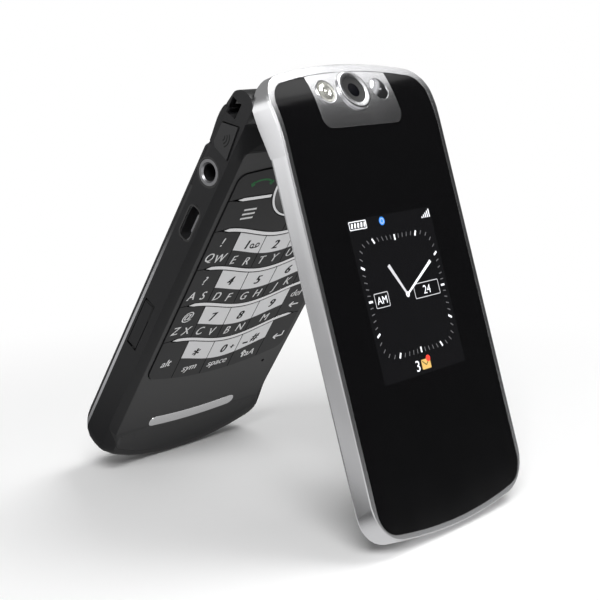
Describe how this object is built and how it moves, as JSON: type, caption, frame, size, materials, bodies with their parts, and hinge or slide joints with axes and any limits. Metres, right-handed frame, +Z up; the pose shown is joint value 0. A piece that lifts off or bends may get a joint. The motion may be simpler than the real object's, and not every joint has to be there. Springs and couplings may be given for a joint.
{
  "type": "flip phone",
  "caption": "Clamshell mobile phone with a full keyboard, a trackball, a camera and an outer display, standing half open like a tent on the free ends of its two halves.",
  "frame": {"origin": "Middle of the bounding box's bottom, on the surface that the half-open phone stands on.", "axes": "+X to the right of someone who faces the lid's outer side, along the hinge; -Y towards the lid's free end and +Y towards the base's chin; +Z up."},
  "size_m": [0.0506, 0.0916, 0.0916],
  "materials": {
    "base_shell": "satin",
    "panel": "satin",
    "back_cover": "matte",
    "bright_bar": "polished",
    "satin_silver": "satin",
    "key": "semi-gloss",
    "side_key": "satin",
    "ball": "translucent pearl",
    "black_gloss": "high gloss",
    "socket_steel": "nickel plated",
    "lens": "coated",
    "flash": "ribbed",
    "mirror": "polished",
    "display": "gloss",
    "board": "solder mask",
    "battery_can": "labelled can, left bare",
    "card": "matte",
    "contact_card": "matte"
  },
  "bodies": {
    "base": {"base_frame": "base_shell", "front_panel": "panel", "key_frets": "bright_bar", "chin_bar": "bright_bar", "side_trim": "satin_silver", "battery": "battery_can", "sim_card": "contact_card", "main_board": "board", "trackball_socket": "black_gloss", "headset_jack": "socket_steel", "usb_port": "socket_steel", "card_slot": "socket_steel", "memory_card": "card", "loudspeaker": "card"},
    "lid": {"hinge_cam": "socket_steel", "hinge_bush": "socket_steel", "lid_frame": "satin_silver", "lid_window": "black_gloss", "camera_plate": "satin_silver", "camera_module": "black_gloss", "camera_lens": "lens", "flash_lens": "flash", "portrait_mirror": "mirror", "outer_display": "display", "lid_board": "board", "inner_cover": "base_shell", "inner_window": "black_gloss", "inner_display": "display", "earpiece": "card"},
    "battery_cover_body": {"battery_cover": "back_cover"},
    "card_door_body": {"card_door": "base_shell"},
    "trackball_body": {"trackball": "ball"},
    "side_key_left_body": {"side_key_left": "side_key"},
    "side_key_right_body": {"side_key_right": "side_key"},
    "volume_rocker_body": {"volume_rocker": "side_key"},
    "key_send_body": {"key_send": "key"},
    "key_menu_body": {"key_menu": "key"},
    "key_escape_body": {"key_escape": "key"},
    "key_end_body": {"key_end": "key"},
    "key_qw_body": {"key_qw": "key"},
    "key_er_body": {"key_er": "key"},
    "key_ty_body": {"key_ty": "key"},
    "key_ui_body": {"key_ui": "key"},
    "key_op_body": {"key_op": "key"},
    "key_as_body": {"key_as": "key"},
    "key_df_body": {"key_df": "key"},
    "key_gh_body": {"key_gh": "key"},
    "key_jk_body": {"key_jk": "key"},
    "key_l_body": {"key_l": "key"},
    "key_zx_body": {"key_zx": "key"},
    "key_cv_body": {"key_cv": "key"},
    "key_bn_body": {"key_bn": "key"},
    "key_m_body": {"key_m": "key"},
    "key_delete_body": {"key_delete": "key"},
    "key_alt_body": {"key_alt": "key"},
    "key_symbol_body": {"key_symbol": "key"},
    "key_space_body": {"key_space": "key"},
    "key_shift_body": {"key_shift": "key"},
    "key_enter_body": {"key_enter": "key"}
  },
  "joints": [
    {"name": "lid_hinge", "type": "hinge", "parent": "base", "child": "lid", "pos_m": [0, -0.01183, 0.08417], "axis": [-1, 0, 0], "range_deg": [-50.7, 105]},
    {"name": "battery_cover_slide", "type": "slide", "parent": "base", "child": "battery_cover_body", "axis": [0, 0.5584, -0.8296], "range_m": [0, 0.006]},
    {"name": "card_door_hinge", "type": "hinge", "parent": "base", "child": "card_door_body", "pos_m": [-0.0245, 0.02365, 0.03272], "axis": [0, -0.8296, -0.5584], "range_deg": [0, 100]},
    {"name": "trackball_roll", "type": "hinge", "parent": "base", "child": "trackball_body", "pos_m": [0, -0.00365, 0.06871], "axis": [1, 0, 0], "continuous": true},
    {"name": "volume_rocker_tilt", "type": "hinge", "parent": "base", "child": "volume_rocker_body", "pos_m": [0.0244, 0.00141, 0.06415], "axis": [0, -0.8296, -0.5584], "range_deg": [-1.5, 1.5], "stiffness_Nm_per_rad": 0.05},
    {"name": "side_key_left_press", "type": "slide", "parent": "base", "child": "side_key_left_body", "axis": [1, 0, 0], "range_m": [0, 0.0003], "stiffness_N_per_m": 500},
    {"name": "side_key_right_press", "type": "slide", "parent": "base", "child": "side_key_right_body", "axis": [-1, 0, 0], "range_m": [0, 0.0003], "stiffness_N_per_m": 500},
    {"name": "key_send_press", "type": "slide", "parent": "base", "child": "key_send_body", "axis": [0, 0.8296, 0.5584], "range_m": [0, 0.0003], "stiffness_N_per_m": 500},
    {"name": "key_menu_press", "type": "slide", "parent": "base", "child": "key_menu_body", "axis": [0, 0.8296, 0.5584], "range_m": [0, 0.0003], "stiffness_N_per_m": 500},
    {"name": "key_escape_press", "type": "slide", "parent": "base", "child": "key_escape_body", "axis": [0, 0.8296, 0.5584], "range_m": [0, 0.0003], "stiffness_N_per_m": 500},
    {"name": "key_end_press", "type": "slide", "parent": "base", "child": "key_end_body", "axis": [0, 0.8296, 0.5584], "range_m": [0, 0.0003], "stiffness_N_per_m": 500},
    {"name": "key_qw_press", "type": "slide", "parent": "base", "child": "key_qw_body", "axis": [0, 0.8296, 0.5584], "range_m": [0, 0.0003], "stiffness_N_per_m": 500},
    {"name": "key_er_press", "type": "slide", "parent": "base", "child": "key_er_body", "axis": [0, 0.8296, 0.5584], "range_m": [0, 0.0003], "stiffness_N_per_m": 500},
    {"name": "key_ty_press", "type": "slide", "parent": "base", "child": "key_ty_body", "axis": [0, 0.8296, 0.5584], "range_m": [0, 0.0003], "stiffness_N_per_m": 500},
    {"name": "key_ui_press", "type": "slide", "parent": "base", "child": "key_ui_body", "axis": [0, 0.8296, 0.5584], "range_m": [0, 0.0003], "stiffness_N_per_m": 500},
    {"name": "key_op_press", "type": "slide", "parent": "base", "child": "key_op_body", "axis": [0, 0.8296, 0.5584], "range_m": [0, 0.0003], "stiffness_N_per_m": 500},
    {"name": "key_as_press", "type": "slide", "parent": "base", "child": "key_as_body", "axis": [0, 0.8296, 0.5584], "range_m": [0, 0.0003], "stiffness_N_per_m": 500},
    {"name": "key_df_press", "type": "slide", "parent": "base", "child": "key_df_body", "axis": [0, 0.8296, 0.5584], "range_m": [0, 0.0003], "stiffness_N_per_m": 500},
    {"name": "key_gh_press", "type": "slide", "parent": "base", "child": "key_gh_body", "axis": [0, 0.8296, 0.5584], "range_m": [0, 0.0003], "stiffness_N_per_m": 500},
    {"name": "key_jk_press", "type": "slide", "parent": "base", "child": "key_jk_body", "axis": [0, 0.8296, 0.5584], "range_m": [0, 0.0003], "stiffness_N_per_m": 500},
    {"name": "key_l_press", "type": "slide", "parent": "base", "child": "key_l_body", "axis": [0, 0.8296, 0.5584], "range_m": [0, 0.0003], "stiffness_N_per_m": 500},
    {"name": "key_zx_press", "type": "slide", "parent": "base", "child": "key_zx_body", "axis": [0, 0.8296, 0.5584], "range_m": [0, 0.0003], "stiffness_N_per_m": 500},
    {"name": "key_cv_press", "type": "slide", "parent": "base", "child": "key_cv_body", "axis": [0, 0.8296, 0.5584], "range_m": [0, 0.0003], "stiffness_N_per_m": 500},
    {"name": "key_bn_press", "type": "slide", "parent": "base", "child": "key_bn_body", "axis": [0, 0.8296, 0.5584], "range_m": [0, 0.0003], "stiffness_N_per_m": 500},
    {"name": "key_m_press", "type": "slide", "parent": "base", "child": "key_m_body", "axis": [0, 0.8296, 0.5584], "range_m": [0, 0.0003], "stiffness_N_per_m": 500},
    {"name": "key_delete_press", "type": "slide", "parent": "base", "child": "key_delete_body", "axis": [0, 0.8296, 0.5584], "range_m": [0, 0.0003], "stiffness_N_per_m": 500},
    {"name": "key_alt_press", "type": "slide", "parent": "base", "child": "key_alt_body", "axis": [0, 0.8296, 0.5584], "range_m": [0, 0.0003], "stiffness_N_per_m": 500},
    {"name": "key_symbol_press", "type": "slide", "parent": "base", "child": "key_symbol_body", "axis": [0, 0.8296, 0.5584], "range_m": [0, 0.0003], "stiffness_N_per_m": 500},
    {"name": "key_space_press", "type": "slide", "parent": "base", "child": "key_space_body", "axis": [0, 0.8296, 0.5584], "range_m": [0, 0.0003], "stiffness_N_per_m": 500},
    {"name": "key_shift_press", "type": "slide", "parent": "base", "child": "key_shift_body", "axis": [0, 0.8296, 0.5584], "range_m": [0, 0.0003], "stiffness_N_per_m": 500},
    {"name": "key_enter_press", "type": "slide", "parent": "base", "child": "key_enter_body", "axis": [0, 0.8296, 0.5584], "range_m": [0, 0.0003], "stiffness_N_per_m": 500}
  ]
}
